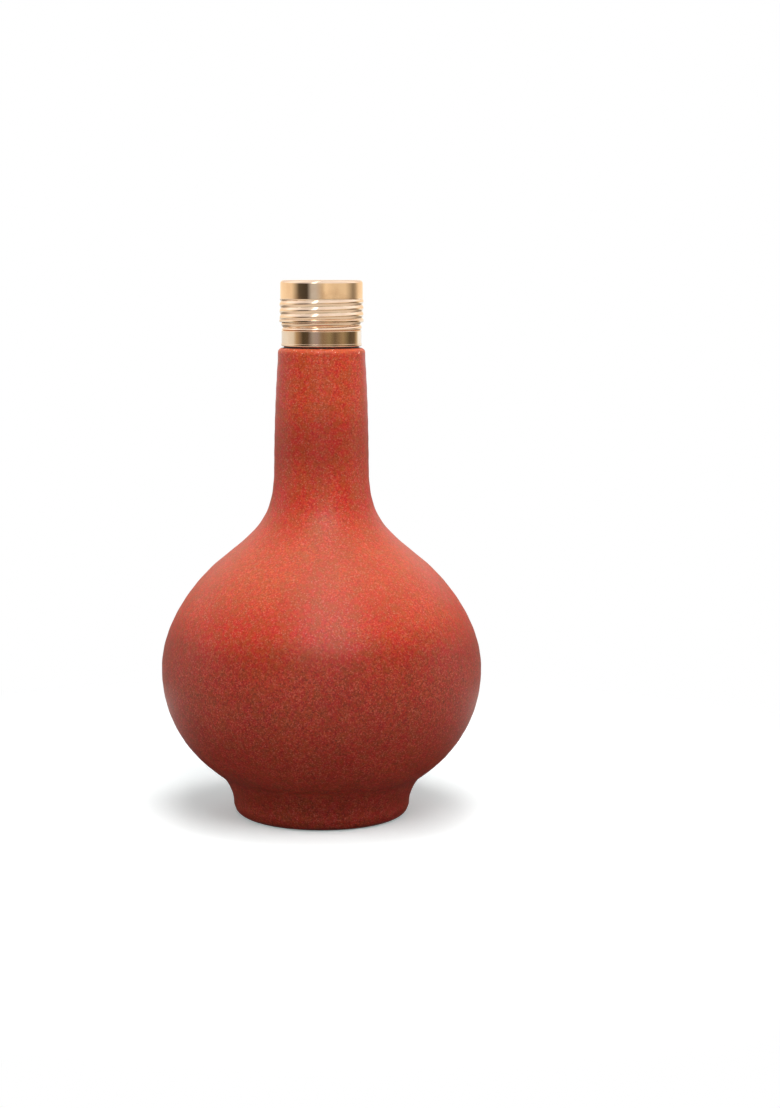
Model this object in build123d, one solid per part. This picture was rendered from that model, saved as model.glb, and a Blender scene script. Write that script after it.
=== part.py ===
from build123d import *
from math import atan2, ceil, cos, degrees
import os

# Clay bottle, outside. Lengths are in millimetres, +Z is up and the foot stands on Z = 0.
bottle_height = 219.0
belly_radius = 75.0
belly_height = 70.0
foot_radius = 41.6
foot_edge_radius = 6.1
waist_radius = 48.0
waist_height = 19.5
waist_slope = 40.2
shoulder_radius = 48.5
shoulder_height = 119.5
shoulder_slope = 140.5
neck_base_radius = 22.2
neck_base_height = 164.0
rim_radius = 20.3
rim_slope = 94.0
rim_edge_radius = 2.4

# How far each stretch of the outline keeps its starting and its ending direction,
# as shares of the straight distance between its two ends.
foot_reach_shares = (0.10, 0.46)
belly_low_reach_shares = (0.06, 0.59)
belly_high_reach_shares = (0.45, 0.11)
shoulder_reach_shares = (0.45, 0.48)
neck_reach_shares = (0.33, 0.33)

# Clay bottle, inside
clay_wall = 7.0
floor_thickness = 10.0
floor_flat_radius = 18.0
neck_bore_radius = 14.9
bore_bevel = 0.8
foot_recess_depth = 2.0
foot_ring_width = 5.5
foot_recess_taper = 1.5
rim_edge_share = 0.6

# Screw cap, pressed and rolled from one thickness of sheet
cap_radius = 19.0
cap_height = 19.2
cap_sheet = 0.4
cap_corner_radius = 1.6
cap_corner_bevel = 0.8
cap_band_height = 8.6
cap_neck_in = 0.5
cap_neck_in_height = 0.9
lip_height = 0.9
lip_proud = 1.0
lip_bevel = 0.2
wad_thickness = 1.8
wad_play = 0.12
wad_bevel = 1.0

# Rolled thread, shared by the cap and the collar
thread_pitch = 3.0
thread_depth = 0.85
thread_play = 0.35
thread_rise = 0.5
thread_bite = 0.12
ridge_half_shares = (0.34, 0.13)
groove_half_shares = (0.25, 0.085)
male_half_shares = (0.25, 0.07)
start_turn = -0.25
lip_turn = 0.5
fade_turn = 0.25
overlap_turn = 0.25
stretch_turn = 0.5
front_angle = -90.0

# Neck collar, washer and cement
collar_showing = 11.0
bead_height = 1.2
bead_proud = 0.2
band_height = 6.0
band_proud = 0.7
collar_bevel = 0.15
sleeve_wall = 2.1
sleeve_bevel = 0.6
flange_thickness = 3.0
funnel_height = 3.2
spigot_length = 18.0
spigot_wall = 1.5
cement_gap = 0.9
washer_thickness = 0.8
washer_inset = 1.1
washer_play = 0.2
thread_lip_gap = 7.6

# Heights that the pieces share
washer_top = bottle_height + washer_thickness
band_bottom = washer_top + bead_height
band_top = band_bottom + band_height
cap_bottom = washer_top + collar_showing
cap_top = cap_bottom + cap_height
wad_top = cap_top - cap_sheet
lip_top = wad_top - wad_thickness
spigot_bottom = bottle_height - spigot_length

# Radii that the pieces share
skirt_radius = cap_radius - cap_neck_in
skirt_inside = skirt_radius - cap_sheet
ridge_radius = skirt_radius + thread_depth
groove_radius = ridge_radius - cap_sheet
crest_radius = groove_radius - thread_play
root_radius = skirt_inside - thread_play
band_radius = root_radius + band_proud
spigot_radius = neck_bore_radius - cement_gap
spout_radius = spigot_radius - spigot_wall
sleeve_inside = root_radius - sleeve_wall

# Turns of the thread, counted from where it first crosses the front of the bottle
front_height = band_top + thread_rise
last_turn = (lip_top - thread_lip_gap - front_height) / thread_pitch


def way(slope):
    """Unit direction in the outline's plane, at an angle in degrees from the outward one."""
    return Vector(1, 0).rotate(Axis.Z, slope)


def stretch(start, start_way, end, end_way, reach_shares):
    """Smooth curve between two points that leaves and arrives in the given directions."""
    span = (end - start).length
    leaving = start + start_way * (span * reach_shares[0])
    arriving = end - end_way * (span * reach_shares[1])
    return Bezier(start, leaving, arriving, end)


def spin(outline):
    """Solid turned from a closed outline of (radius, height) edges."""
    return revolve(Plane.XZ * make_face(outline), Axis.Z)


def ring(corners, bevels=(), rounds=()):
    """Solid turned from (radius, height) corners; bevels and rounds name a corner and its size."""
    face = make_face(Polyline(*corners, close=True))
    for corner, length in bevels:
        vertex = face.vertices().sort_by_distance((*corners[corner], 0))[0]
        face = chamfer(vertex, length)
    for corner, radius in rounds:
        vertex = face.vertices().sort_by_distance((*corners[corner], 0))[0]
        face = fillet(vertex, radius)
    return revolve(Plane.XZ * face, Axis.Z)


def clay_outside():
    """Outer edges from the foot ring up to the top of the rim."""
    up = way(90)
    edge = min(rim_edge_radius, rim_edge_share * (rim_radius - neck_bore_radius - bore_bevel))
    foot_side = Vector(foot_radius, foot_edge_radius)
    waist = Vector(waist_radius, waist_height)
    belly = Vector(belly_radius, belly_height)
    shoulder = Vector(shoulder_radius, shoulder_height)
    neck_base = Vector(neck_base_radius, neck_base_height)
    rim_side = Vector(rim_radius, bottle_height - edge)
    rim_top = Vector(rim_radius - edge, bottle_height)
    foot_edge = CenterArc((foot_radius - foot_edge_radius, foot_edge_radius), foot_edge_radius, -90, 90)
    return [
        foot_edge,
        stretch(foot_side, up, waist, way(waist_slope), foot_reach_shares),
        stretch(waist, way(waist_slope), belly, up, belly_low_reach_shares),
        stretch(belly, up, shoulder, way(shoulder_slope), belly_high_reach_shares),
        stretch(shoulder, way(shoulder_slope), neck_base, up, shoulder_reach_shares),
        stretch(neck_base, up, rim_side, way(rim_slope), neck_reach_shares),
        CenterArc((rim_top.X, rim_side.Y), edge, 0, 90),
    ], rim_top


def clay_inside():
    """Inner edges from the bore's mouth down to the middle of the floor."""
    down = way(-90)
    into_waist = way(waist_slope + 90) * clay_wall
    into_shoulder = way(shoulder_slope + 90) * clay_wall
    waist = Vector(waist_radius, waist_height) + into_waist
    belly = Vector(belly_radius - clay_wall, belly_height)
    shoulder = Vector(shoulder_radius, shoulder_height) + into_shoulder
    bore_end = Vector(neck_bore_radius, neck_base_height)
    bore_top = Vector(neck_bore_radius, bottle_height - bore_bevel)
    floor_edge = Vector(floor_flat_radius, foot_recess_depth + floor_thickness)
    return [
        Line(bore_top, bore_end),
        stretch(bore_end, down, shoulder, way(shoulder_slope - 180), shoulder_reach_shares[::-1]),
        stretch(shoulder, way(shoulder_slope - 180), belly, down, belly_high_reach_shares[::-1]),
        stretch(belly, down, waist, way(waist_slope - 180), belly_low_reach_shares[::-1]),
        stretch(waist, way(waist_slope - 180), floor_edge, way(180), neck_reach_shares),
    ], bore_top, floor_edge


def clay_bottle():
    """Thrown bottle with an even wall, a long neck and a shallow recess inside its foot ring."""
    outside, rim_top = clay_outside()
    inside, bore_top, floor_edge = clay_inside()
    ring_outside = foot_radius - foot_edge_radius
    ring_inside = ring_outside - foot_ring_width
    axis_top = Vector(0, floor_edge.Y)
    axis_bottom = Vector(0, foot_recess_depth)
    recess_corner = Vector(ring_inside - foot_recess_taper, foot_recess_depth)
    mouth_edge = Vector(neck_bore_radius + bore_bevel, bottle_height)
    closing = [
        Polyline(rim_top, mouth_edge, bore_top),
        Polyline(floor_edge, axis_top, axis_bottom, recess_corner, (ring_inside, 0), (ring_outside, 0)),
    ]
    edges = [edge for line in outside + inside + closing for edge in line.edges()]
    return spin(edges)


def helix(radius, end_radius, half_width, turn, turns):
    """One edge line of a thread, from a turn onwards, on a cylinder or on a cone."""
    rise = thread_pitch * turns
    cone = atan2(end_radius - radius, rise)
    line = Edge.make_helix(thread_pitch / cos(cone), rise, radius, angle=degrees(cone))
    height = front_height + thread_pitch * turn + half_width
    return Pos(Z=height) * Rot(Z=front_angle + 360 * turn) * line


def thread_lines(base, crest, end_base, end_crest, half_shares, turn, turns):
    """The four edge lines of a stretch of thread, wide at its base and narrow at its crest."""
    base_half, crest_half = (share * thread_pitch for share in half_shares)
    return [
        helix(base, end_base, -base_half, turn, turns),
        helix(base, end_base, base_half, turn, turns),
        helix(crest, end_crest, crest_half, turn, turns),
        helix(crest, end_crest, -crest_half, turn, turns),
    ]


def thread(wall, crest, half_shares, first, last):
    """Solid helical ridge on a round wall, full from the first turn to the last.

    Its base lies a little inside the wall, and at both ends the ridge sinks out of sight.
    """
    base = wall - thread_bite
    sunk = base - thread_bite
    count = ceil((last - first) / stretch_turn)
    step = (last - first) / count
    stretches = [thread_lines(sunk, base, base, crest, half_shares, first - fade_turn, fade_turn)]
    for number in range(count):
        turn = first + step * number
        stretches.append(thread_lines(base, crest, base, crest, half_shares, turn, step))
    stretches.append(thread_lines(base, crest, sunk, base, half_shares, last, fade_turn))
    faces = [
        Face.make_surface_from_curves(line, neighbour)
        for lines in stretches
        for line, neighbour in zip(lines, lines[1:] + lines[:1])
    ]
    faces.append(Face(Wire.make_polygon([line @ 0 for line in stretches[0]])))
    faces.append(Face(Wire.make_polygon([line @ 1 for line in stretches[-1]])))
    return Solid(Shell(faces))


def neck_collar():
    """Threaded sleeve with a plain band, a bottom bead and a spigot that goes down the bore."""
    bead_radius = band_radius + bead_proud
    funnel_bottom = washer_top + flange_thickness
    corners = [
        (spout_radius, spigot_bottom),
        (spigot_radius, spigot_bottom),
        (spigot_radius, washer_top),
        (bead_radius, washer_top),
        (bead_radius, band_bottom),
        (band_radius, band_bottom),
        (band_radius, band_top),
        (root_radius, band_top),
        (root_radius, lip_top),
        (sleeve_inside, lip_top),
        (sleeve_inside, funnel_bottom + funnel_height),
        (spout_radius, funnel_bottom),
    ]
    bevels = [
        (3, collar_bevel),
        (4, collar_bevel),
        (6, collar_bevel),
        (8, sleeve_bevel),
        (9, sleeve_bevel),
    ]
    screw = thread(root_radius, crest_radius, male_half_shares, start_turn, last_turn)
    return ring(corners, bevels) + screw


def cement_bond():
    """Set cement that fills the gap between the spigot and the clay bore."""
    corners = [
        (spigot_radius, spigot_bottom),
        (neck_bore_radius, spigot_bottom),
        (neck_bore_radius, bottle_height),
        (spigot_radius, bottle_height),
    ]
    return ring(corners)


def rim_washer():
    """Soft washer between the collar's flange and the clay rim, set back from the bead."""
    inner, outer = spigot_radius + washer_play, band_radius - washer_inset
    return ring([(inner, bottle_height), (outer, bottle_height), (outer, washer_top), (inner, washer_top)])


def cap_gasket():
    """Disc in the top of the cap that seals on the collar's lip."""
    radius = cap_radius - cap_sheet - wad_play
    return ring([(0, lip_top), (radius, lip_top), (radius, wad_top), (0, wad_top)], [(2, wad_bevel)])


def cap_shell():
    """Cup of thin sheet: plain band above, rolled thread in the skirt and a flared lip below."""
    band_end = cap_top - cap_band_height
    skirt_top = band_end - cap_neck_in_height
    lip_end = cap_bottom + lip_height
    flare_top = lip_end + cap_neck_in_height
    lip_radius = skirt_radius + lip_proud
    corners = [
        (0, cap_top),
        (cap_radius, cap_top),
        (cap_radius, band_end),
        (skirt_radius, skirt_top),
        (skirt_radius, flare_top),
        (lip_radius, lip_end),
        (lip_radius, cap_bottom),
        (groove_radius, cap_bottom),
        (groove_radius, lip_end),
        (skirt_inside, flare_top),
        (skirt_inside, skirt_top),
        (cap_radius - cap_sheet, band_end),
        (cap_radius - cap_sheet, wad_top),
        (0, wad_top),
    ]
    bevels = [
        (5, lip_bevel),
        (6, lip_bevel),
        (12, cap_corner_bevel),
    ]
    groove_last = last_turn + overlap_turn
    ridge = thread(skirt_radius, ridge_radius, ridge_half_shares, lip_turn, groove_last + overlap_turn)
    groove = thread(skirt_inside, groove_radius, groove_half_shares, lip_turn, groove_last)
    hanging = (Align.CENTER, Align.CENTER, Align.MAX)
    below_cap = Pos(Z=cap_bottom) * Cylinder(lip_radius, cap_height, align=hanging)
    return ring(corners, bevels, [(1, cap_corner_radius)]) + (ridge - below_cap) - groove


os.makedirs("parts", exist_ok=True)
for make in (clay_bottle, cement_bond, rim_washer, neck_collar, cap_gasket, cap_shell):
    export_step(make(), f"parts/{make.__name__}.step")
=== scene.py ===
import bpy
from math import atan2, cos, degrees, hypot, pi, radians, sin, tan
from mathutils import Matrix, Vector, noise


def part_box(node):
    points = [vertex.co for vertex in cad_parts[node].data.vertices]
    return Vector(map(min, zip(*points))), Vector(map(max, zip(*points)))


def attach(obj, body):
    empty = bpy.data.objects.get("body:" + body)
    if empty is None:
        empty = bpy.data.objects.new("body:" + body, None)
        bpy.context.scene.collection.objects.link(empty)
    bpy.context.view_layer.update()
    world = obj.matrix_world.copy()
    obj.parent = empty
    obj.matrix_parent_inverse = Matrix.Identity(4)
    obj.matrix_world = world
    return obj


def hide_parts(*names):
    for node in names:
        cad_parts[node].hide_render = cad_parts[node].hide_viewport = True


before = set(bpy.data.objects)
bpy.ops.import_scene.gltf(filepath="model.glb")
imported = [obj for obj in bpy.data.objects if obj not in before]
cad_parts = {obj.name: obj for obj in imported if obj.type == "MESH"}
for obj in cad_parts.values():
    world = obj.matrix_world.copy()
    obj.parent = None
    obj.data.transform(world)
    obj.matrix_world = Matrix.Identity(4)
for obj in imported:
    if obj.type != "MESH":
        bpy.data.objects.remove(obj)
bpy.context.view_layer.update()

MM = 0.001

# Photograph: its frame, where the bottle's axis stands in it, and the camera that took it
PHOTO_WIDTH, PHOTO_HEIGHT = 780, 1108
AXIS_PIXEL_X = 321.5
CAMERA_DISTANCE = 1.053
CAMERA_HEIGHT = 0.255
AIM_HEIGHT = 0.123
FOCAL_PIXELS = 2272.8
SENSOR_WIDTH_MM = 36

# Clay outline, from the drawing of the bottle
BOTTLE_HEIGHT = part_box("clay_bottle")[1][2]
BELLY_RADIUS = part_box("clay_bottle")[1][0]
BELLY_HEIGHT = 70.0 * MM
FOOT_RADIUS = 41.6 * MM
FOOT_EDGE_RADIUS = 6.1 * MM
FOOT_RING_WIDTH = 5.5 * MM
FOOT_RING_ROUND = 0.6 * MM
FOOT_RECESS_DEPTH = 2.0 * MM
FOOT_RECESS_TAPER = 1.5 * MM
FOOT_RECESS_ROUND = 0.8 * MM
WAIST_RADIUS = 48.0 * MM
WAIST_HEIGHT = 19.5 * MM
WAIST_SLOPE = 40.2
SHOULDER_RADIUS = 48.5 * MM
SHOULDER_HEIGHT = 119.5 * MM
SHOULDER_SLOPE = 140.5
NECK_BASE_RADIUS = 22.2 * MM
NECK_BASE_HEIGHT = 164.0 * MM
RIM_RADIUS = 20.3 * MM
RIM_SLOPE = 94.0
RIM_EDGE_RADIUS = 2.4 * MM
CLAY_WALL = 7.0 * MM
FLOOR_THICKNESS = 10.0 * MM
FLOOR_FLAT_RADIUS = 18.0 * MM
NECK_BORE_RADIUS = 14.9 * MM
BORE_EDGE_RADIUS = 0.8 * MM

# How far each curve of the clay keeps to the directions of its two ends, as shares of its span
FOOT_TO_WAIST = (0.10, 0.46)
WAIST_TO_BELLY = (0.06, 0.59)
BELLY_TO_SHOULDER = (0.45, 0.11)
SHOULDER_TO_NECK = (0.45, 0.48)
NECK_TO_RIM = (0.33, 0.33)
WAIST_TO_FLOOR = (0.33, 0.33)

# What a thrower's hand leaves on the clay
LUMP_SIZE = 38 * MM
LUMP_DEPTH = 0.35 * MM
RIPPLE_PITCH = 7.5 * MM
RIPPLE_DEPTH = 0.10 * MM
RIPPLE_WOBBLE = 1.5
WOBBLE_STRETCH = 0.7
BORE_MARGIN = 2 * MM
NIBBLE_SIZE = 2.1 * MM
NIBBLE_DEPTH = 0.22 * MM

# Metal neck and cap, from the same drawing
WASHER_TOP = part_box("rim_washer")[1][2]
CAP_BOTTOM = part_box("cap_shell")[0][2]
CAP_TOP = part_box("cap_shell")[1][2]
CAP_RADIUS = 19.0 * MM
CAP_SHEET = 0.4 * MM
CAP_CORNER_RADIUS = 1.6 * MM
CAP_BAND_HEIGHT = 8.6 * MM
CAP_NECK_IN = 0.5 * MM
CAP_NECK_IN_HEIGHT = 0.9 * MM
CAP_BEND = 0.5 * MM
LIP_HEIGHT = 0.9 * MM
LIP_PROUD = 1.0 * MM
LIP_WALL = 1.4 * CAP_SHEET
LIP_RISE = 0.1 * MM
LIP_ROUND = 0.3 * MM
LIP_EDGE_ROUND = 0.24 * MM
LIP_INSIDE_ROUND = 0.2 * MM
THREAD_PITCH = 3.0 * MM
THREAD_DEPTH = 0.85 * MM
THREAD_PLAY = 0.35 * MM
THREAD_RISE = 0.5 * MM
THREAD_LIP_GAP = 7.6 * MM
START_TURN = -0.25
CAP_START_TURN = 0.5
FADE_TURN = 0.25
OVERLAP_TURN = 0.25
BEAD_HEIGHT = 1.2 * MM
BEAD_PROUD = 0.2 * MM
BEAD_ROUND = 0.4 * MM
BEAD_TOP_ROUND = 0.18 * MM
BAND_HEIGHT = 6.0 * MM
BAND_PROUD = 0.7 * MM
BAND_ROUND = 0.3 * MM
SLEEVE_WALL = 2.1 * MM
SLEEVE_LIP_ROUND = 0.6 * MM
FLANGE_THICKNESS = 3.0 * MM
FUNNEL_HEIGHT = 3.2 * MM
FUNNEL_TOP_ROUND = 0.8 * MM
FUNNEL_BOTTOM_ROUND = 1.2 * MM
SPIGOT_LENGTH = 18.0 * MM
SPIGOT_WALL = 1.5 * MM
SPIGOT_ROUND = 0.4 * MM
CEMENT_GAP = 0.9 * MM

SKIRT_RADIUS = CAP_RADIUS - CAP_NECK_IN
SKIRT_INSIDE = SKIRT_RADIUS - CAP_SHEET
ROOT_RADIUS = SKIRT_INSIDE - THREAD_PLAY
BAND_RADIUS = ROOT_RADIUS + BAND_PROUD
SPIGOT_RADIUS = NECK_BORE_RADIUS - CEMENT_GAP
LIP_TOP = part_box("neck_collar")[1][2]
LIP_END = CAP_BOTTOM + LIP_HEIGHT
BAND_BOTTOM = WASHER_TOP + BEAD_HEIGHT
BAND_TOP = BAND_BOTTOM + BAND_HEIGHT
CAP_BAND_END = CAP_TOP - CAP_BAND_HEIGHT
FRONT_HEIGHT = BAND_TOP + THREAD_RISE
LAST_TURN = (LIP_TOP - THREAD_LIP_GAP - FRONT_HEIGHT) / THREAD_PITCH
CAP_LAST_TURN = LAST_TURN + 2 * OVERLAP_TURN

# Look of the threads: how broad a crest is, how far a valley is filled outside the cap, and the height
# in which the collar's thread rises out of its band
CREST_BREADTH = 0.5
VALLEY_FILL = 0.35
LEDGE_RISE = 0.5 * MM

# Fineness of the turned meshes
CLAY_STEPS = 256
METAL_STEPS = 256
CLAY_ROW = 1.6 * MM
THREAD_ROW = 0.14 * MM
ARC_STEP = radians(9)
CLAY_SHARP_ANGLE = 60
METAL_SHARP_ANGLE = 50

# Small distances: from an arc to the row beside it, taken off an arc that would fill its corner, between
# points that are merged, inside a thin wall, and round the radius on which a thread is cut
HOLD = 0.12 * MM
HAIR = 0.01 * MM
WELD = 0.002 * MM
WALL_MARGIN = 1.0 * MM
ROOT_MARGIN = 0.1 * MM

# Clay marks: sizes of its patterns. The clay's own grain and sand are some 0.2 mm across, too fine to
# show in the render, so they are drawn coarser
CLOUD_SIZE = 26 * MM
STREAK_SIZE = 5 * MM
MOTTLE_SIZE = 2.8 * MM
CHIP_SIZE = 1.5 * MM
GRAIN_SIZE = 0.95 * MM
SAND_SIZE = 0.5 * MM
GRAIN_RELIEF = 0.12 * MM

# Clay marks, and the painted shade on the lower half and the foot: heights above the table between which
# each one fades in
LOWER_SHADE_SWAY = 20 * MM
LOWER_SHADE_FADE = (97 * MM, 84 * MM)
SOOT_FADE = (105 * MM, 75 * MM)
FOOT_SHADE_FADE = (28 * MM, 14 * MM)
RIM_FADE = (BOTTLE_HEIGHT - 3 * MM, BOTTLE_HEIGHT)
CHIP_FADE = (BOTTLE_HEIGHT - 3.2 * MM, BOTTLE_HEIGHT - 2.2 * MM)

# Painted shade at the foot of the neck and a paler shoulder band, partly painted sheen: middles of
# these two soft bands round the bottle, and distances between which each fades in
NECK_SHADE_HEIGHT = 176 * MM
NECK_SHADE_FADE = (20 * MM, 5 * MM)
SHOULDER_TONE_AND_SHEEN_HEIGHT = 122 * MM
SHOULDER_TONE_AND_SHEEN_FADE = (26 * MM, 6 * MM)

# Metal marks. Real turning lines are some 0.05 mm apart, too fine to show, so they are drawn coarser
TURNING_LINE = 0.35 * MM
TURNING_RELIEF = 0.02 * MM
SMEAR_SIZE = 6 * MM

# Table: its width, how far out its shadow is kept, and how bright mirror rays find it near and far:
# dim near the foot, a painted shadow, and white further out
TABLE_WIDTH = 6.0
SHADE_REACH = (0.12, 0.36)
SHADE_GLOW = 0.243
MIRRORED_REACH = (0.08, 0.22)
MIRRORED_TABLE = (0.05, 1.0)

# Studio: strength of its even light, of what the metal mirrors and of the screen low round the table
AMBIENT = 0.10
MIRRORED_STUDIO = 1.1
SCREEN_STRENGTH = 1.2
SCREEN_RADIUS = 0.30
SCREEN_HEIGHT = 0.232
SCREEN_FADE = (0.045, 0.078)
SCREEN_BACK = (0.04, 0.20)
SCREEN_STREAKS = 9.0
WORLD_BACK = (0.2, 0.6)
CEILING_FADE = (0.12, 0.40)

# Brightness of the studio around the bottle, at degrees from the front towards the right, with a tint
# where it isn't white
WALLS = [
    (-180, 1.1), (-92, 0.96), (-66, 0.10), (-40, 0.06), (-28, 0.95, "#CEDFFF"), (-16, 1.0, "#CEDFFF"),
    (2, 0.68), (12, 0.98), (36, 0.84), (70, 0.86), (98, 0.32), (108, 0.42), (126, 1.05), (180, 1.05),
]
LOW_WALLS = [
    (-180, 0.9), (-150, 0.9), (-112, 0.95), (-86, 0.86), (-54, 0.10), (-38, 0.12),
    (-24, 0.95, "#BDCEFF"), (-12, 0.90, "#BDCEFF"), (2, 0.31), (22, 0.38), (38, 0.18), (62, 0.44),
    (86, 0.14), (106, 0.18), (130, 1.1), (150, 1.0), (180, 0.9),
]
CEILING = [
    (-180, 1.0), (-150, 1.0), (-118, 1.4), (-90, 1.2), (-58, 0.9), (-31, 1.0), (-26, 3.0), (-18, 3.0),
    (-13, 1.0), (36, 1.1), (70, 1.05), (118, 1.4), (150, 1.0), (180, 1.0),
]

# Sockets of a node that mixes colours: its two colours in and its colour out
UNDER, OVER, MIXED = 6, 7, 2


# Outlines

def way(slope):
    """Unit direction in the outline's plane, at an angle in degrees from the outward one."""
    return Vector((cos(radians(slope)), sin(radians(slope))))


def stretch(start, start_way, end, end_way, shares):
    """Points of a smooth curve between two points, past the first one."""
    span = (end - start).length
    leaving = start + start_way * span * shares[0]
    arriving = end - end_way * span * shares[1]
    count = max(4, round(span / CLAY_ROW))
    points = []
    for number in range(1, count + 1):
        t = number / count
        s = 1 - t
        points.append(start * s ** 3 + leaving * 3 * s * s * t + arriving * 3 * s * t * t + end * t ** 3)
    return points


def rounded(corners):
    """Outline through (radius, height, rounding) corners. Each rounding is an arc, with a row close
    before and after it that keeps the flats beside it flat when they are shaded smooth."""
    points = [Vector((r, z)) for r, z, _ in corners]
    halves = [pi / 2] + [
        (before - corner).angle(after - corner) / 2
        for before, corner, after in zip(points, points[1:], points[2:])
    ] + [pi / 2]
    reaches = [rounding / tan(half) for (_, _, rounding), half in zip(corners, halves)]
    outline = [points[0]]
    for number in range(1, len(points) - 1):
        before, corner, after = points[number - 1:number + 2]
        rounding, half, reach = corners[number][2], halves[number], reaches[number]
        if not rounding:
            outline.append(corner)
            continue
        into, out = (before - corner).normalized(), (after - corner).normalized()
        centre = corner + (into + out).normalized() * rounding / sin(half)
        first, last = corner + into * reach, corner + out * reach
        free_before = (before - corner).length - reach - reaches[number - 1]
        free_after = (after - corner).length - reach - reaches[number + 1]
        outline.append(first + into * min(HOLD, free_before / 3))
        turn = pi - 2 * half
        count = max(2, round(turn / ARC_STEP))
        side = 1 if into.cross(out) > 0 else -1
        start = atan2(first.y - centre.y, first.x - centre.x)
        for step in range(count):
            angle = start - side * turn * step / count
            outline.append(centre + Vector((cos(angle), sin(angle))) * rounding)
        outline += [last, last + out * min(HOLD, free_after / 3)]
    outline.append(points[-1])
    return outline


def fine_rows(outline, radius, low, high, row):
    """The outline with its stretches outside a radius and between two heights cut into rows."""
    points = [outline[0]]
    for start, end in zip(outline, outline[1:]):
        cut = min(start.x, end.x) > radius and min(start.y, end.y) < high and max(start.y, end.y) > low
        count = max(1, round((end - start).length / row)) if cut else 1
        points += [start.lerp(end, number / count) for number in range(1, count + 1)]
    return points


# Modelling

def turned(name, outline, steps, closed=True):
    """Piece drawn as an outline curve, made a mesh and turned about the upright axis."""
    bpy.ops.object.select_all(action="DESELECT")
    bpy.ops.curve.primitive_nurbs_path_add(location=(0, 0, 0))
    piece = bpy.context.object
    piece.name = name
    spline = piece.data.splines[0]
    spline.type = "POLY"
    spline.points.add(len(outline) - len(spline.points))
    spline.use_cyclic_u = closed
    for knot, point in zip(spline.points, outline):
        knot.co = (point.x, 0, point.y, 1)
    bpy.ops.object.convert(target="MESH")
    piece = bpy.context.object
    piece.data.name = name
    bpy.ops.object.modifier_add(type="SCREW")
    lathe = piece.modifiers[-1]
    lathe.axis, lathe.angle, lathe.screw_offset = "Z", 2 * pi, 0
    lathe.steps = lathe.render_steps = steps
    bpy.ops.object.modifier_apply(modifier=lathe.name)
    bpy.ops.object.mode_set(mode="EDIT")
    bpy.ops.mesh.select_all(action="SELECT")
    bpy.ops.mesh.remove_doubles(threshold=WELD)
    bpy.ops.mesh.normals_make_consistent(inside=False)
    bpy.ops.object.mode_set(mode="OBJECT")
    return piece


def smooth(piece, sharp_angle):
    """Shades a piece smooth, with sharp edges past an angle in degrees."""
    bpy.ops.object.select_all(action="DESELECT")
    piece.select_set(True)
    bpy.context.view_layer.objects.active = piece
    bpy.ops.object.shade_smooth_by_angle(angle=radians(sharp_angle))


def ease(value, low, high):
    """Rises smoothly from 0 at low to 1 at high."""
    share = min(1.0, max(0.0, (value - low) / (high - low)))
    return share * share * (3 - 2 * share)


def push_out(vertex, radius, crest):
    """Moves a vertex straight away from the axis, from its radius out to a crest."""
    if crest > radius:
        vertex.co.x *= crest / radius
        vertex.co.y *= crest / radius


def thread_lift(x, y, z, first, last, breadth=CREST_BREADTH):
    """Height of a rounded thread at a place: 0 in its groove, 1 on its crest."""
    around = (degrees(atan2(y, x)) + 90) % 360 / 360
    turns = (z - FRONT_HEIGHT) / THREAD_PITCH - around
    ridge = round(turns)
    away = abs(turns - ridge)
    place = ridge + around
    fade = ease(place, first - FADE_TURN, first) * (1 - ease(place, last, last + FADE_TURN))
    crest = 0.5 + 0.5 * cos(2 * pi * min(away, 0.5))
    return fade * crest ** breadth


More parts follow.
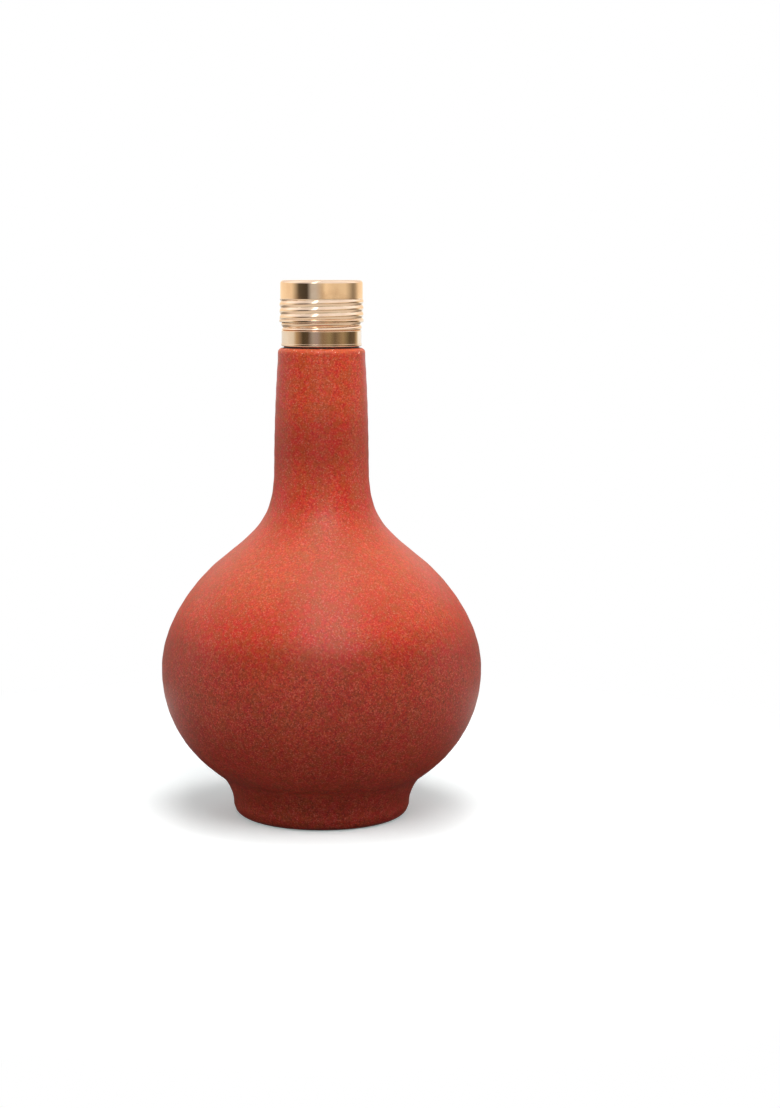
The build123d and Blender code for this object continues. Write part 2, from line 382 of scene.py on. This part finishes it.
def clay_outline():
    """The clay's section, from the middle of its recess round to the middle of its floor."""
    up, down = way(90), way(-90)
    foot_side = Vector((FOOT_RADIUS, FOOT_EDGE_RADIUS))
    waist = Vector((WAIST_RADIUS, WAIST_HEIGHT))
    belly = Vector((BELLY_RADIUS, BELLY_HEIGHT))
    shoulder = Vector((SHOULDER_RADIUS, SHOULDER_HEIGHT))
    neck_base = Vector((NECK_BASE_RADIUS, NECK_BASE_HEIGHT))
    rim_side = Vector((RIM_RADIUS, BOTTLE_HEIGHT - RIM_EDGE_RADIUS))
    ring_outside = FOOT_RADIUS - FOOT_EDGE_RADIUS
    ring_inside = ring_outside - FOOT_RING_WIDTH
    foot = rounded([
        (0, FOOT_RECESS_DEPTH, 0),
        (ring_inside - FOOT_RECESS_TAPER, FOOT_RECESS_DEPTH, FOOT_RECESS_ROUND),
        (ring_inside, 0, FOOT_RING_ROUND),
        (FOOT_RADIUS, 0, FOOT_EDGE_RADIUS - HAIR),
        (*foot_side, 0),
    ])
    rim = rounded([
        (*rim_side, 0),
        (RIM_RADIUS, BOTTLE_HEIGHT, RIM_EDGE_RADIUS - HAIR),
        (NECK_BORE_RADIUS, BOTTLE_HEIGHT, BORE_EDGE_RADIUS),
        (NECK_BORE_RADIUS, BOTTLE_HEIGHT - 2 * BORE_EDGE_RADIUS, 0),
    ])
    waist_up, waist_down = way(WAIST_SLOPE), way(WAIST_SLOPE - 180)
    shoulder_up, shoulder_down = way(SHOULDER_SLOPE), way(SHOULDER_SLOPE - 180)
    inner_waist = waist + way(WAIST_SLOPE + 90) * CLAY_WALL
    inner_belly = Vector((BELLY_RADIUS - CLAY_WALL, BELLY_HEIGHT))
    inner_shoulder = shoulder + way(SHOULDER_SLOPE + 90) * CLAY_WALL
    bore_end = Vector((NECK_BORE_RADIUS, NECK_BASE_HEIGHT))
    floor_edge = Vector((FLOOR_FLAT_RADIUS, FOOT_RECESS_DEPTH + FLOOR_THICKNESS))
    outline = foot
    outline += stretch(foot_side, up, waist, waist_up, FOOT_TO_WAIST)
    outline += stretch(waist, waist_up, belly, up, WAIST_TO_BELLY)
    outline += stretch(belly, up, shoulder, shoulder_up, BELLY_TO_SHOULDER)
    outline += stretch(shoulder, shoulder_up, neck_base, up, SHOULDER_TO_NECK)
    outline += stretch(neck_base, up, rim_side, way(RIM_SLOPE), NECK_TO_RIM)
    outline += rim[1:] + [bore_end]
    outline += stretch(bore_end, down, inner_shoulder, shoulder_down, SHOULDER_TO_NECK[::-1])
    outline += stretch(inner_shoulder, shoulder_down, inner_belly, down, BELLY_TO_SHOULDER[::-1])
    outline += stretch(inner_belly, down, inner_waist, waist_down, WAIST_TO_BELLY[::-1])
    outline += stretch(inner_waist, waist_down, floor_edge, way(180), WAIST_TO_FLOOR)
    outline.append(Vector((0, floor_edge.y)))
    return outline


def clay_bottle():
    """The thrown body, with the slight unevenness that a hand leaves on it."""
    piece = turned("clay_body", clay_outline(), CLAY_STEPS, closed=False)
    for vertex in piece.data.vertices:
        x, y, z = vertex.co
        radius = hypot(x, y)
        if radius < SPIGOT_RADIUS or z < FOOT_EDGE_RADIUS / 2:
            continue
        place = vertex.co / LUMP_SIZE
        sway = noise.noise(place) * 0.5 + 0.5
        wobble = RIPPLE_WOBBLE * noise.noise(place * WOBBLE_STRETCH)
        rings = 0.5 + 0.5 * sin(2 * pi * z / RIPPLE_PITCH + wobble)
        inward = LUMP_DEPTH * sway + RIPPLE_DEPTH * rings
        outside = ease(radius, NECK_BORE_RADIUS, NECK_BORE_RADIUS + BORE_MARGIN)
        near_rim = ease(z, BOTTLE_HEIGHT - 2 * RIM_EDGE_RADIUS, BOTTLE_HEIGHT)
        inward *= outside * (1 - near_rim)
        nibble = near_rim * outside * NIBBLE_DEPTH * max(0.0, noise.noise(vertex.co / NIBBLE_SIZE))
        vertex.co.x -= x / radius * inward
        vertex.co.y -= y / radius * inward
        vertex.co.z -= nibble
    smooth(piece, CLAY_SHARP_ANGLE)
    return piece


def cap_outline():
    """Section of the pressed cap: top, plain band, skirt and lip, then back up inside."""
    skirt_top = CAP_BAND_END - CAP_NECK_IN_HEIGHT
    flare_top = LIP_END + CAP_NECK_IN_HEIGHT
    lip_radius = SKIRT_RADIUS + LIP_PROUD
    lip_inside = lip_radius - LIP_WALL
    corners = [
        (0, CAP_TOP, 0),
        (CAP_RADIUS, CAP_TOP, CAP_CORNER_RADIUS),
        (CAP_RADIUS, CAP_BAND_END, CAP_BEND),
        (SKIRT_RADIUS, skirt_top, CAP_BEND),
        (SKIRT_RADIUS, flare_top, CAP_BEND),
        (lip_radius, LIP_END + LIP_RISE, LIP_ROUND),
        (lip_radius, CAP_BOTTOM, LIP_EDGE_ROUND),
        (lip_inside, CAP_BOTTOM, LIP_INSIDE_ROUND),
        (lip_inside, LIP_END, LIP_INSIDE_ROUND),
        (SKIRT_INSIDE, flare_top, CAP_BEND),
        (SKIRT_INSIDE, skirt_top, CAP_BEND),
        (CAP_RADIUS - CAP_SHEET, CAP_BAND_END, CAP_BEND),
        (CAP_RADIUS - CAP_SHEET, CAP_TOP - CAP_SHEET, CAP_CORNER_RADIUS - CAP_SHEET),
        (0, CAP_TOP - CAP_SHEET, 0),
    ]
    return fine_rows(rounded(corners), SKIRT_INSIDE - WALL_MARGIN, LIP_END, CAP_BAND_END, THREAD_ROW)


def cap():
    """The cap, with its thread rolled through the sheet so that it shows outside and inside."""
    piece = turned("screw_cap", cap_outline(), METAL_STEPS, closed=False)
    for vertex in piece.data.vertices:
        x, y, z = vertex.co
        radius = hypot(x, y)
        if radius < SKIRT_INSIDE - WALL_MARGIN or not LIP_END < z < CAP_BAND_END:
            continue
        thread = (x, y, z, CAP_START_TURN, CAP_LAST_TURN)
        lift = thread_lift(*thread)
        wall = SKIRT_INSIDE
        if radius > SKIRT_RADIUS - CAP_SHEET / 2:
            filled = thread_lift(*thread, breadth=0)
            lift = (1 - VALLEY_FILL) * lift + VALLEY_FILL * filled
            wall = SKIRT_RADIUS
        push_out(vertex, radius, wall + THREAD_DEPTH * lift)
    smooth(piece, METAL_SHARP_ANGLE)
    return piece


def collar_outline():
    """Section of the neck: spigot, bead, plain band, threaded sleeve and the funnel inside."""
    sleeve_inside = ROOT_RADIUS - SLEEVE_WALL
    spout = SPIGOT_RADIUS - SPIGOT_WALL
    spigot_bottom = BOTTLE_HEIGHT - SPIGOT_LENGTH
    funnel_bottom = WASHER_TOP + FLANGE_THICKNESS
    bead = BAND_RADIUS + BEAD_PROUD
    corners = [
        (spout, spigot_bottom, 0),
        (SPIGOT_RADIUS, spigot_bottom, SPIGOT_ROUND),
        (SPIGOT_RADIUS, WASHER_TOP, 0),
        (bead, WASHER_TOP, BEAD_ROUND),
        (bead, BAND_BOTTOM, BEAD_TOP_ROUND),
        (BAND_RADIUS, BAND_BOTTOM, 0),
        (BAND_RADIUS, BAND_TOP, BAND_ROUND),
        (ROOT_RADIUS, BAND_TOP, 0),
        (ROOT_RADIUS, LIP_TOP, SLEEVE_LIP_ROUND),
        (sleeve_inside, LIP_TOP, SLEEVE_LIP_ROUND),
        (sleeve_inside, funnel_bottom + FUNNEL_HEIGHT, FUNNEL_TOP_ROUND),
        (spout, funnel_bottom, FUNNEL_BOTTOM_ROUND),
        (spout, spigot_bottom, 0),
    ]
    thread_end = FRONT_HEIGHT + THREAD_PITCH * (LAST_TURN + 1)
    outline = rounded(corners)[:-1]
    return fine_rows(outline, ROOT_RADIUS - WALL_MARGIN, BAND_TOP, thread_end, THREAD_ROW)


def collar():
    """The fixed metal neck, with the thread that the cap runs on."""
    piece = turned("neck_sleeve", collar_outline(), METAL_STEPS)
    for vertex in piece.data.vertices:
        x, y, z = vertex.co
        radius = hypot(x, y)
        if abs(radius - ROOT_RADIUS) > ROOT_MARGIN or z <= BAND_TOP:
            continue
        lift = thread_lift(x, y, z, START_TURN, LAST_TURN) * ease(z, BAND_TOP, BAND_TOP + LEDGE_RISE)
        push_out(vertex, radius, ROOT_RADIUS + THREAD_DEPTH * lift)
    smooth(piece, METAL_SHARP_ANGLE)
    return piece


# Materials

def linear(colour, alpha=1.0):
    """An sRGB hex colour as the linear values that a shader works in."""
    values = [int(colour[place:place + 2], 16) / 255 for place in (1, 3, 5)]
    return [v / 12.92 if v <= 0.04045 else ((v + 0.055) / 1.055) ** 2.4 for v in values] + [alpha]


def add_node(tree, kind, inputs=None, **settings):
    """Adds a node with its settings; inputs are values or other nodes' outputs."""
    item = tree.nodes.new("ShaderNode" + kind)
    for name, value in settings.items():
        setattr(item, name, value)
    for socket, value in (inputs or {}).items():
        if isinstance(value, bpy.types.NodeSocket):
            tree.links.new(value, item.inputs[socket])
        else:
            item.inputs[socket].default_value = value
    return item


def new_material(name):
    """An empty material and its node tree."""
    material = bpy.data.materials.new(name)
    material.use_nodes = True
    material.node_tree.nodes.clear()
    return material, material.node_tree


def finish_surface(tree, shader):
    """Sends a shader to the surface output."""
    add_node(tree, "OutputMaterial", {"Surface": shader.outputs[0]})


def red_earthenware():
    """Unglazed red earthenware, wiped smooth and fired."""
    # To the eye it is a matt, mottled red: orange and crimson grain with dark and pale specks, browner
    # clouds and wiped streaks, and a broad dry sheen. The lower half, the foot and the foot of the neck
    # are darker with painted shade, and a paler orange band on the shoulder is partly more orange clay
    # and partly painted sheen
    material, tree = new_material("red_earthenware")
    place = add_node(tree, "TexCoord").outputs["Object"]
    height = add_node(tree, "SeparateXYZ", {0: place}).outputs["Z"]
    wiped = add_node(tree, "Mapping", {"Vector": place, "Scale": (1.0, 1.0, 0.35)})
    cloud = add_node(tree, "TexNoise", {"Vector": place, "Scale": 1 / CLOUD_SIZE, "Detail": 3.0})
    streak = add_node(tree, "TexNoise", {
        "Vector": wiped.outputs[0], "Scale": 1 / STREAK_SIZE, "Detail": 3.0,
    })
    mottle = add_node(tree, "TexNoise", {"Vector": place, "Scale": 1 / MOTTLE_SIZE, "Detail": 1.0})
    grain = add_node(tree, "TexNoise", {
        "Vector": place, "Scale": 1 / GRAIN_SIZE, "Detail": 2.0, "Roughness": 0.7,
    })
    sand = add_node(tree, "TexVoronoi", {"Vector": place, "Scale": 1 / SAND_SIZE})
    speck = add_node(tree, "SeparateColor", {0: sand.outputs["Color"]})
    chips = add_node(tree, "TexNoise", {"Vector": place, "Scale": 1 / CHIP_SIZE, "Detail": 1.0})

    def away_from(level):
        """Distance up or down from a height."""
        offset = add_node(tree, "Math", {0: height, 1: level}, operation="SUBTRACT")
        return add_node(tree, "Math", {0: offset.outputs[0]}, operation="ABSOLUTE").outputs[0]

    def layer(under, over, value, low, high, start, end, blend="MIX"):
        """Mixes a colour over another where a value runs from low to high."""
        share = add_node(tree, "MapRange", {
            "Value": value, "From Min": low, "From Max": high, "To Min": start, "To Max": end,
        })
        return add_node(tree, "Mix", {
            "Factor": share.outputs[0], UNDER: under, OVER: linear(over),
        }, data_type="RGBA", blend_type=blend).outputs[MIXED]

    # Grain, clouds, wiped streaks, brown and crimson mottle, dark and pale specks
    colour = layer(linear("#AC2A1A"), "#CC4E28", grain.outputs["Fac"], 0.38, 0.62, 0, 1)
    colour = layer(colour, "#B0261A", cloud.outputs["Fac"], 0.42, 0.62, 0, 0.55)
    colour = layer(colour, "#A44420", streak.outputs["Fac"], 0.45, 0.65, 0, 0.55)
    colour = layer(colour, "#964C1E", mottle.outputs["Fac"], 0.48, 0.64, 0, 0.38)
    colour = layer(colour, "#C42630", mottle.outputs["Fac"], 0.52, 0.36, 0, 0.30)
    colour = layer(colour, "#5E1610", speck.outputs["Red"], 0.0, 0.45, 0.42, 0)
    colour = layer(colour, "#D8957C", speck.outputs["Green"], 0.74, 1.0, 0, 0.27)

    # Painted shade on the lower half, with an edge that sways, and stronger dark and red specks in it
    sway = add_node(tree, "Math", {
        0: cloud.outputs["Fac"], 1: LOWER_SHADE_SWAY, 2: -LOWER_SHADE_SWAY / 2,
    }, operation="MULTIPLY_ADD")
    lower_shade_line = add_node(tree, "Math", {0: height, 1: sway.outputs[0]}, operation="ADD")
    lower = add_node(tree, "MapRange", {
        "Value": height, "From Min": SOOT_FADE[0], "From Max": SOOT_FADE[1],
    })
    soot = add_node(tree, "Math", {
        0: lower.outputs[0], 1: speck.outputs["Blue"],
    }, operation="MULTIPLY")
    glint = add_node(tree, "Math", {
        0: lower.outputs[0], 1: speck.outputs["Green"],
    }, operation="MULTIPLY")
    colour = layer(colour, "#D6CED0", lower_shade_line.outputs[0], *LOWER_SHADE_FADE, 0, 1, "MULTIPLY")
    colour = layer(colour, "#38221A", soot.outputs[0], 0.5, 1.0, 0, 0.5)
    colour = layer(colour, "#F0604C", glint.outputs[0], 0.5, 1.0, 0, 0.22)
    # Painted shade: the foot darker towards the table
    colour = layer(colour, "#E8ECF4", height, *FOOT_SHADE_FADE, 0, 1, "MULTIPLY")

    # Painted shade at the foot of the neck, a paler orange band on the shoulder that is partly painted
    # sheen and partly a more orange clay, and the rim with chips of lighter clay
    colour = layer(colour, "#E4E2E2", away_from(NECK_SHADE_HEIGHT), *NECK_SHADE_FADE, 0, 1, "MULTIPLY")
    colour = layer(colour, "#E48C66", away_from(SHOULDER_TONE_AND_SHEEN_HEIGHT), *SHOULDER_TONE_AND_SHEEN_FADE, 0, 0.14)
    colour = layer(colour, "#D8673F", height, *RIM_FADE, 0, 0.5)
    at_rim = add_node(tree, "MapRange", {
        "Value": height, "From Min": CHIP_FADE[0], "From Max": CHIP_FADE[1],
    })
    chipped = add_node(tree, "Math", {
        0: chips.outputs["Fac"], 1: at_rim.outputs[0],
    }, operation="MULTIPLY")
    colour = layer(colour, "#F4C4AA", chipped.outputs[0], 0.67, 0.73, 0, 0.75)

    bump = add_node(tree, "Bump", {
        "Height": grain.outputs["Fac"], "Strength": 0.5, "Distance": GRAIN_RELIEF,
    })
    dry = add_node(tree, "MapRange", {
        "Value": grain.outputs["Fac"], "From Min": 0.3, "From Max": 0.7, "To Min": 0.33, "To Max": 0.46,
    })
    shader = add_node(tree, "BsdfPrincipled", {
        "Base Color": colour, "Roughness": dry.outputs[0], "Specular IOR Level": 0.20,
        "Normal": bump.outputs[0],
    })
    finish_surface(tree, shader)
    return material


def gold_anodised_aluminium(name, colour, roughness):
    """Aluminium, pressed and turned, then bright-dipped and anodised gold."""
    # To the eye it is a warm mirror, softened a little by fine turning lines and an uneven polish
    material, tree = new_material(name)
    place = add_node(tree, "TexCoord").outputs["Object"]
    squeezed = add_node(tree, "Mapping", {"Vector": place, "Scale": (0.04, 0.04, 1.0)})
    lines = add_node(tree, "TexNoise", {
        "Vector": squeezed.outputs[0], "Scale": 1 / TURNING_LINE, "Detail": 2.0,
    })
    smear = add_node(tree, "TexNoise", {"Vector": place, "Scale": 1 / SMEAR_SIZE, "Detail": 4.0})
    polish = add_node(tree, "MapRange", {
        "Value": smear.outputs["Fac"], "From Min": 0.35, "From Max": 0.7,
        "To Min": roughness, "To Max": roughness + 0.06,
    })
    paler = add_node(tree, "MapRange", {"Value": smear.outputs["Fac"], "From Min": 0.4, "From Max": 0.75})
    shade = add_node(tree, "Mix", {
        "Factor": paler.outputs[0], UNDER: linear(colour), OVER: linear("#E6C8A8"),
    }, data_type="RGBA")
    bump = add_node(tree, "Bump", {
        "Height": lines.outputs["Fac"], "Strength": 0.12, "Distance": TURNING_RELIEF,
    })
    shader = add_node(tree, "BsdfPrincipled", {
        "Base Color": shade.outputs[MIXED], "Metallic": 1.0, "Roughness": polish.outputs[0],
        "Normal": bump.outputs[0],
    })
    finish_surface(tree, shader)
    return material


def plain_finish(name, low, high, size, roughness, relief):
    """A dull moulded or set surface: two near shades in grains of a real size, with a slight relief."""
    material, tree = new_material(name)
    place = add_node(tree, "TexCoord").outputs["Object"]
    grain = add_node(tree, "TexNoise", {"Vector": place, "Scale": 1 / size, "Detail": 3.0})
    colour = add_node(tree, "Mix", {
        "Factor": grain.outputs["Fac"], UNDER: linear(low), OVER: linear(high),
    }, data_type="RGBA")
    bump = add_node(tree, "Bump", {"Height": grain.outputs["Fac"], "Strength": 0.4, "Distance": relief})
    shader = add_node(tree, "BsdfPrincipled", {
        "Base Color": colour.outputs[MIXED], "Roughness": roughness, "Normal": bump.outputs[0],
    })
    finish_surface(tree, shader)
    return material


def dress(piece, material, slot, body, *nodes):
    """Gives a finished piece its material and its body, and hides the CAD nodes it stands for. The slot
    is not used.
    """
    piece.data.materials.clear()
    piece.data.materials.append(material)
    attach(piece, body)
    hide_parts(*nodes)


def repaint(node, material):
    """Gives a CAD node that keeps its shape a better material."""
    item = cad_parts[node]
    for slot in item.material_slots:
        slot.material = material


# Stage

def white_table():
    """White table top that keeps the soft shadow near the foot and runs out into white."""
    material, tree = new_material("white_table")
    rays = add_node(tree, "LightPath")
    place = add_node(tree, "TexCoord").outputs["Object"]
    away = add_node(tree, "VectorMath", {0: place}, operation="LENGTH")
    far = add_node(tree, "MapRange", {
        "Value": away.outputs["Value"], "From Min": SHADE_REACH[0], "From Max": SHADE_REACH[1],
    }, interpolation_type="SMOOTHSTEP")

    # What the camera sees. The glow's tint takes out the red that the clay throws into its own shadow
    glow = add_node(tree, "Emission", {"Color": linear("#E8FFFF"), "Strength": SHADE_GLOW})
    matt = add_node(tree, "BsdfDiffuse", {"Color": linear("#F9F9F9")})
    near = add_node(tree, "AddShader", {0: glow.outputs[0], 1: matt.outputs[0]})
    white = add_node(tree, "Emission", {"Color": linear("#FFFFFF"), "Strength": 1.0})
    shown = add_node(tree, "MixShader", {0: far.outputs[0], 1: near.outputs[0], 2: white.outputs[0]})

    # What the metal mirrors, dimmed near the foot by a painted shadow, and what the clay's underside is
    # lit by
    mirrored_shadow = add_node(tree, "MapRange", {
        "Value": away.outputs["Value"], "From Min": MIRRORED_REACH[0], "From Max": MIRRORED_REACH[1],
        "To Min": MIRRORED_TABLE[0], "To Max": MIRRORED_TABLE[1],
    })
    mirrored = add_node(tree, "Emission", {
        "Color": linear("#F2EEE8"), "Strength": mirrored_shadow.outputs[0],
    })
    bounce = add_node(tree, "BsdfDiffuse", {"Color": linear("#B4B4B4")})
    other = add_node(tree, "MixShader", {
        0: rays.outputs["Is Glossy Ray"], 1: bounce.outputs[0], 2: mirrored.outputs[0],
    })
    shader = add_node(tree, "MixShader", {
        0: rays.outputs["Is Camera Ray"], 1: other.outputs[0], 2: shown.outputs[0],
    })
    finish_surface(tree, shader)
    return material


def table():
    """The floor that the bottle stands on."""
    bpy.ops.object.select_all(action="DESELECT")
    bpy.ops.mesh.primitive_plane_add(size=TABLE_WIDTH, location=(0, 0, 0))
    floor = bpy.context.object
    floor.name = floor.data.name = "white_table_top"
    floor.data.materials.append(white_table())


def softbox(name, azimuth, elevation, distance, side, power, mirrored=False):
    """Area light that faces the bottle, azimuth from the front to the right; gives back its object."""
    aim = Vector((0, 0, BOTTLE_HEIGHT / 2))
    turn, lift = radians(azimuth - 90), radians(elevation)
    spot = aim + Vector((cos(lift) * cos(turn), cos(lift) * sin(turn), sin(lift))) * distance
    data = bpy.data.lights.new(name, "AREA")
    data.shape = "SQUARE"
    data.size, data.energy = side, power
    lamp = bpy.data.objects.new(name, data)
    lamp.location = spot
    lamp.rotation_euler = (aim - spot).to_track_quat("-Z", "Y").to_euler()
    lamp.visible_camera, lamp.visible_glossy = False, mirrored
    bpy.context.scene.collection.objects.link(lamp)
    return lamp


def keep_off(lamp, *pieces):
    """Leaves pieces out of a lamp's light, so that bare metal doesn't mirror its outline."""
    shielded = bpy.data.collections.new(lamp.name + "_shielded")
    for piece in pieces:
        shielded.objects.link(piece)
    for item in shielded.collection_objects:
        item.light_linking.link_state = "EXCLUDE"
    lamp.light_linking.receiver_collection = shielded


def studio_ramp(tree, parts, stops):
    """Brightness of the studio in the direction whose parts a node gives, blended between its stops."""
    front = add_node(tree, "Math", {0: parts.outputs["Y"], 1: -1.0}, operation="MULTIPLY")
    angle = add_node(tree, "Math", {0: parts.outputs["X"], 1: front.outputs[0]}, operation="ARCTAN2")
    around = add_node(tree, "MapRange", {"Value": angle.outputs[0], "From Min": -pi, "From Max": pi})
    ramp = add_node(tree, "ValToRGB", {"Fac": around.outputs[0]})
    elements = ramp.color_ramp.elements
    elements.remove(elements[1])
    for number, (azimuth, level, *tints) in enumerate(stops):
        element = elements[0] if number == 0 else elements.new((azimuth + 180) / 360)
        tint = linear(tints[0] if tints else "#FFFFFF")
        element.color = [level * part for part in tint[:3]] + [1]
    return ramp.outputs["Color"]


def low_surround():
    """Low screen round the table that only the metal and the clay's sheen mirror."""
    bpy.ops.object.select_all(action="DESELECT")
    bpy.ops.mesh.primitive_cylinder_add(
        vertices=96, radius=SCREEN_RADIUS, depth=SCREEN_HEIGHT, end_fill_type="NOTHING",
        location=(0, 0, SCREEN_HEIGHT / 2),
    )
    screen = bpy.context.object
    screen.name = screen.data.name = "low_surround"
    material, tree = new_material("painted_screen")
    place = add_node(tree, "TexCoord").outputs["Object"]
    parts = add_node(tree, "SeparateXYZ", {0: place})
    level = studio_ramp(tree, parts, LOW_WALLS)

    # Its upper part: the studio's brightness, warm and streaky where dim and cool where bright
    upright = add_node(tree, "Mapping", {"Vector": place, "Scale": (1.0, 1.0, 0.0)})
    streak = add_node(tree, "TexNoise", {
        "Vector": upright.outputs[0], "Scale": SCREEN_STREAKS, "Detail": 1.0,
    })
    warm = add_node(tree, "Mix", {
        "Factor": streak.outputs["Fac"], UNDER: linear("#E2B7A2"), OVER: linear("#D9D19E"),
    }, data_type="RGBA")
    bright = add_node(tree, "MapRange", {"Value": level, "From Min": 0.6, "From Max": 1.0})
    tint = add_node(tree, "Mix", {
        "Factor": bright.outputs[0], UNDER: warm.outputs[MIXED], OVER: linear("#F4FAFF"),
    }, data_type="RGBA")
    upper = add_node(tree, "Mix", {
        "Factor": 1.0, UNDER: level, OVER: tint.outputs[MIXED],
    }, data_type="RGBA", blend_type="MULTIPLY")

    # Its foot: pale in front and darker at the back
    back = add_node(tree, "MapRange", {
        "Value": parts.outputs["Y"], "From Min": SCREEN_BACK[0], "From Max": SCREEN_BACK[1],
    }, interpolation_type="SMOOTHSTEP")
    foot = add_node(tree, "Mix", {
        "Factor": back.outputs[0], UNDER: linear("#DED3CE"), OVER: linear("#A09890"),
    }, data_type="RGBA")
    rise = add_node(tree, "MapRange", {
        "Value": parts.outputs["Z"], "From Min": SCREEN_FADE[0], "From Max": SCREEN_FADE[1],
    }, interpolation_type="SMOOTHSTEP")
    colour = add_node(tree, "Mix", {
        "Factor": rise.outputs[0], UNDER: foot.outputs[MIXED], OVER: upper.outputs[MIXED],
    }, data_type="RGBA")
    paint = add_node(tree, "Emission", {"Color": colour.outputs[MIXED], "Strength": SCREEN_STRENGTH})
    finish_surface(tree, paint)
    screen.data.materials.append(material)
    screen.visible_camera = screen.visible_diffuse = screen.visible_shadow = False


def studio_world():
    """Even pale light, and the studio that the metal mirrors: warm walls and a paler ceiling."""
    world = bpy.data.worlds.new("studio")
    bpy.context.scene.world = world
    world.use_nodes = True
    tree = world.node_tree
    tree.nodes.clear()
    direction = add_node(tree, "TexCoord").outputs["Generated"]
    parts = add_node(tree, "SeparateXYZ", {0: direction})
    walls = add_node(tree, "Mix", {
        "Factor": 1.0, UNDER: studio_ramp(tree, parts, WALLS), OVER: linear("#FFEBD0"),
    }, data_type="RGBA", blend_type="MULTIPLY")
    back = add_node(tree, "MapRange", {
        "Value": parts.outputs["Y"], "From Min": WORLD_BACK[0], "From Max": WORLD_BACK[1],
    }, interpolation_type="SMOOTHSTEP")
    tint = add_node(tree, "Mix", {
        "Factor": back.outputs[0], UNDER: linear("#F8F6FF"), OVER: linear("#F6ECEA"),
    }, data_type="RGBA")
    ceiling = add_node(tree, "Mix", {
        "Factor": 1.0, UNDER: studio_ramp(tree, parts, CEILING), OVER: tint.outputs[MIXED],
    }, data_type="RGBA", blend_type="MULTIPLY")
    above = add_node(tree, "MapRange", {
        "Value": parts.outputs["Z"], "From Min": CEILING_FADE[0], "From Max": CEILING_FADE[1],
    }, interpolation_type="SMOOTHSTEP")
    studio = add_node(tree, "Mix", {
        "Factor": above.outputs[0], UNDER: walls.outputs[MIXED], OVER: ceiling.outputs[MIXED],
    }, data_type="RGBA")
    rays = add_node(tree, "LightPath")
    mirrored = add_node(tree, "Background", {
        "Color": studio.outputs[MIXED], "Strength": MIRRORED_STUDIO,
    })
    light = add_node(tree, "Background", {"Color": linear("#FFFFFF"), "Strength": AMBIENT})
    white = add_node(tree, "Background", {"Color": linear("#FFFFFF"), "Strength": 1.0})
    other = add_node(tree, "MixShader", {
        0: rays.outputs["Is Glossy Ray"], 1: light.outputs[0], 2: mirrored.outputs[0],
    })
    sky = add_node(tree, "MixShader", {
        0: rays.outputs["Is Camera Ray"], 1: other.outputs[0], 2: white.outputs[0],
    })
    add_node(tree, "OutputWorld", {"Surface": sky.outputs[0]})


def camera():
    """The photograph's viewpoint: level with the cap and looking slightly down."""
    data = bpy.data.cameras.new("camera")
    data.sensor_fit = "AUTO"
    data.sensor_width = SENSOR_WIDTH_MM
    data.lens = SENSOR_WIDTH_MM * FOCAL_PIXELS / PHOTO_HEIGHT
    data.shift_x = (PHOTO_WIDTH / 2 - AXIS_PIXEL_X) / PHOTO_HEIGHT
    item = bpy.data.objects.new("camera", data)
    item.location = (0, -CAMERA_DISTANCE, CAMERA_HEIGHT)
    view = Vector((0, 0, AIM_HEIGHT)) - item.location
    item.rotation_euler = view.to_track_quat("-Z", "Y").to_euler()
    bpy.context.scene.collection.objects.link(item)
    bpy.context.scene.camera = item


# Pieces

clay = red_earthenware()
dress(clay_bottle(), clay, "fired_clay", "bottle", "clay_bottle")
metal_neck = collar()
metal_cap = cap()
neck_finish = gold_anodised_aluminium("gold_anodised_collar", "#EAD0B2", 0.09)
cap_finish = gold_anodised_aluminium("gold_anodised_cap", "#ECD3B4", 0.08)
dress(metal_neck, neck_finish, "collar_metal", "bottle", "neck_collar")
dress(metal_cap, cap_finish, "cap_metal", "cap", "cap_shell")

# To the eye: set cement is grey, sandy and dull, moulded rubber nearly black with little shine, and
# moulded silicone milky with a soft shine
repaint("cement_bond", plain_finish("set_cement", "#A29C90", "#BDB6A8", 0.8 * MM, 0.85, 0.10 * MM))
repaint("rim_washer", plain_finish("black_rubber", "#1C1A19", "#2A2725", 0.5 * MM, 0.60, 0.03 * MM))
repaint("cap_gasket", plain_finish("milky_silicone", "#D9D9D3", "#E6E6E1", 3 * MM, 0.45, 0.02 * MM))

# Table, lamps and studio. A lamp has its azimuth, elevation, distance, side and power
table()
softbox("key_softbox", 10, 84, 1.3, 0.6, 7.9)
softbox("low_front_softbox", 0, 3, 1.6, 1.0, 5.4)
softbox("neck_softbox", 0, 40, 0.4, 0.2, 0.12)
sheen = softbox("sheen_softbox", 10, 48, 1.2, 0.75, 9.0, mirrored=True)
keep_off(sheen, metal_neck, metal_cap)
softbox("left_softbox", -92, 5, 1.4, 0.8, 5.3)
softbox("right_softbox", 92, 5, 1.4, 0.8, 5.8)
softbox("left_edge_softbox", -108, 4, 1.6, 1.4, 8.0)
softbox("right_edge_softbox", 108, 4, 1.6, 1.4, 8.4)
softbox("back_softbox", 180, 35, 1.4, 0.8, 3.2)
low_surround()
studio_world()
camera()
bpy.context.scene.view_settings.view_transform = "Standard"
